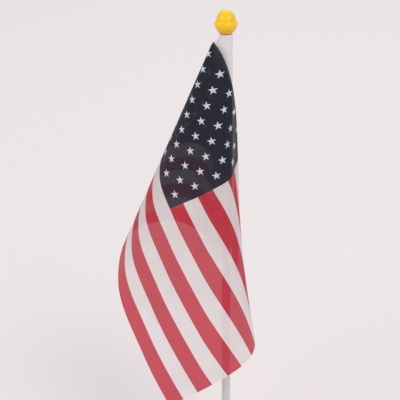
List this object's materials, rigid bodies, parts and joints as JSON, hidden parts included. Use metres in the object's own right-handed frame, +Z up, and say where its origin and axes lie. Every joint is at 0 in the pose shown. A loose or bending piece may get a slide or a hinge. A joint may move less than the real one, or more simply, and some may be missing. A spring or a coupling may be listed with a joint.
{
  "type": "desk flag stand",
  "caption": "Small weighted round base with a thin tube pole, a ball finial and a limp printed cloth flag hung in folds from its sleeve.",
  "frame": {"origin": "centre of the base pad's underside, on the pole's axis", "axes": "+Z up along the pole, -Y towards the viewer, the flag hangs towards -X"},
  "size_m": [0.1052, 0.1112, 0.3208],
  "materials": {
    "white_plastic": "moulded white plastic, satin",
    "weight_steel": "plated steel ring",
    "screw_steel": "zinc-plated steel",
    "foam_pad": "closed-cell foam, matt",
    "pole_plastic": "extruded white plastic tube",
    "yellow_plastic": "moulded yellow plastic, glossy",
    "sleeve_cloth": "plain white polyester weave",
    "printed_cloth": "thin printed polyester weave, red and white stripes with a dark starred canton",
    "thread": "white sewing thread"
  },
  "bodies": {
    "base": {"base_shell": "white_plastic", "base_weight": "weight_steel", "base_cover": "white_plastic", "base_screw_1": "screw_steel", "base_screw_2": "screw_steel", "base_screw_3": "screw_steel", "base_pad": "foam_pad"},
    "pole": {"pole": "pole_plastic"},
    "flag": {"flag_sleeve": "sleeve_cloth", "flag_cloth": "printed_cloth", "sleeve_stitching": "thread"},
    "finial": {"finial": "yellow_plastic"}
  },
  "joints": [
    {"name": "pole_lift", "type": "slide", "parent": "base", "child": "pole", "axis": [0, 0, 1], "range_m": [0, 0.024]},
    {"name": "flag_turn", "type": "hinge", "parent": "pole", "child": "flag", "pos_m": [0, 0, 0.3], "axis": [0, 0, 1], "continuous": true},
    {"name": "finial_pull", "type": "slide", "parent": "pole", "child": "finial", "axis": [0, 0, 1], "range_m": [0, 0.01]}
  ]
}
